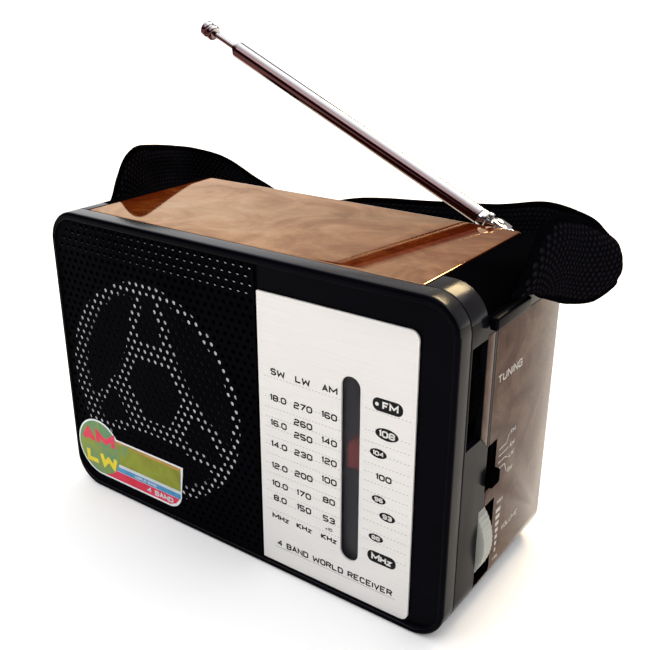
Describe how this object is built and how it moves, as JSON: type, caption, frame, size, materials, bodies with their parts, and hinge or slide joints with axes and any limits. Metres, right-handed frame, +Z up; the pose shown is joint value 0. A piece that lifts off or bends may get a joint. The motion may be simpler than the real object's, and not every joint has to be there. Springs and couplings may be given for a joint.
{
  "type": "shortwave receiver",
  "caption": "Portable analogue multi-band radio with perforated speaker front, slide-rule dial, side thumbwheels, folding telescopic antenna and carrying strap.",
  "frame": {"origin": "centre of the cabinet's flat base, in the plane it rests on", "axes": "+Z up; X left to right across the front, seen from the front; +Y from the front to the back"},
  "size_m": [0.2361, 0.1202, 0.2082],
  "materials": {
    "case_black": "gloss",
    "inner_black": "satin",
    "grille_black": "satin",
    "wood_print": "gloss",
    "dial_silver": "satin",
    "guard_white": "matte",
    "wheel_grey": "satin",
    "pointer_red": "satin",
    "window_smoke": "gloss",
    "sticker": "satin",
    "chrome": "polished",
    "steel": "satin",
    "speaker_paper": "matte",
    "ferrite": "matte",
    "board_green": "satin",
    "cream_plastic": "matte",
    "dial_thread": "matte",
    "copper_winding": "satin",
    "strap_fabric": "matte"
  },
  "bodies": {
    "cabinet": {"front_bezel": "case_black", "speaker_grille": "grille_black", "speaker_guard": "guard_white", "dial_plate": "dial_silver", "dial_window": "window_smoke", "band_sticker": "sticker", "main_shell": "case_black", "top_panel": "wood_print", "right_side_panel": "wood_print", "right_trim_strip": "wood_print", "left_side_panel": "wood_print", "rear_cover": "case_black", "rear_screw_1": "steel", "rear_screw_2": "steel", "rear_screw_3": "steel", "rear_screw_4": "steel", "battery_tray": "inner_black", "battery_spring": "steel", "spring_plate": "steel", "contact_plate": "steel", "speaker_basket": "steel", "speaker_cone": "speaker_paper", "speaker_magnet": "ferrite", "circuit_board": "board_green", "tuning_capacitor": "cream_plastic", "dial_cord": "dial_thread", "pointer_rail": "steel", "volume_potentiometer": "steel", "band_switch_body": "steel", "ferrite_rod": "ferrite", "ferrite_coil": "copper_winding", "rod_holder_left": "cream_plastic", "rod_holder_right": "cream_plastic", "earphone_jack": "inner_black", "power_inlet": "inner_black", "antenna_bracket": "chrome", "strap": "strap_fabric", "strap_anchor_left": "inner_black", "strap_anchor_right": "inner_black"},
    "tuning_control": {"tuning_wheel": "inner_black"},
    "upper_pulley": {"cord_pulley_top": "cream_plastic"},
    "lower_pulley": {"cord_pulley_bottom": "cream_plastic"},
    "pointer": {"dial_pointer": "pointer_red"},
    "volume_control": {"volume_wheel": "wheel_grey"},
    "band_selector": {"band_switch_knob": "inner_black"},
    "door": {"battery_door": "case_black"},
    "antenna_base": {"antenna_yoke": "chrome", "antenna_pin": "chrome"},
    "antenna_mast": {"antenna_tongue": "chrome", "antenna_section_1": "chrome"},
    "mast_section_2": {"antenna_section_2": "chrome"},
    "mast_section_3": {"antenna_section_3": "chrome"},
    "mast_section_4": {"antenna_section_4": "chrome"},
    "mast_section_5": {"antenna_section_5": "chrome", "antenna_tip": "chrome"}
  },
  "joints": [
    {"name": "tuning_turn", "type": "hinge", "parent": "cabinet", "child": "tuning_control", "pos_m": [0.076, -0.02575, 0.0966], "axis": [0, 1, 0], "range_deg": [-110, 61.8]},
    {"name": "pointer_slide", "type": "slide", "parent": "cabinet", "child": "pointer", "axis": [0, 0, 1], "range_m": [-0.0321, 0.0181]},
    {"name": "upper_pulley_turn", "type": "hinge", "parent": "cabinet", "child": "upper_pulley", "pos_m": [0.0612, -0.03175, 0.116], "axis": [0, 1, 0], "range_deg": [-502.5, 282.5]},
    {"name": "lower_pulley_turn", "type": "hinge", "parent": "cabinet", "child": "lower_pulley", "pos_m": [0.0612, -0.03175, 0.018], "axis": [0, 1, 0], "range_deg": [-502.5, 282.5]},
    {"name": "volume_turn", "type": "hinge", "parent": "cabinet", "child": "volume_control", "pos_m": [0.0788, -0.01375, 0.029], "axis": [0, 1, 0], "range_deg": [-150, 150]},
    {"name": "band_slide", "type": "slide", "parent": "cabinet", "child": "band_selector", "axis": [0, 0, 1], "range_m": [0, 0.0087]},
    {"name": "battery_door_hinge", "type": "hinge", "parent": "cabinet", "child": "door", "pos_m": [0, 0.04255, 0.0069], "axis": [-1, 0, 0], "range_deg": [0, 90]},
    {"name": "antenna_swivel", "type": "hinge", "parent": "cabinet", "child": "antenna_base", "pos_m": [0.0755, 0.04755, 0.1303], "axis": [0, 1, 0], "range_deg": [-24.8, 80], "deforming": ["strap"]},
    {"name": "antenna_tilt", "type": "hinge", "parent": "antenna_base", "child": "antenna_mast", "pos_m": [0.06915, 0.04755, 0.13324], "axis": [-0.4195, 0, -0.9078], "range_deg": [0, 60], "deforming": ["strap"]},
    {"name": "mast_section_2_slide", "type": "slide", "parent": "antenna_mast", "child": "mast_section_2", "axis": [-0.9078, 0, 0.4195], "range_m": [0, 0.118]},
    {"name": "mast_section_3_slide", "type": "slide", "parent": "mast_section_2", "child": "mast_section_3", "axis": [-0.9078, 0, 0.4195], "range_m": [0, 0.118]},
    {"name": "mast_section_4_slide", "type": "slide", "parent": "mast_section_3", "child": "mast_section_4", "axis": [-0.9078, 0, 0.4195], "range_m": [0, 0.118]},
    {"name": "mast_section_5_slide", "type": "slide", "parent": "mast_section_4", "child": "mast_section_5", "axis": [-0.9078, 0, 0.4195], "range_m": [-0.0123, 0.103]}
  ],
  "couplings": [
    {"joint": "pointer_slide", "follows": "tuning_turn", "m_per_rad": 0.01665},
    {"joint": "upper_pulley_turn", "follows": "tuning_turn", "ratio": 4.5616},
    {"joint": "lower_pulley_turn", "follows": "tuning_turn", "ratio": 4.5616}
  ]
}
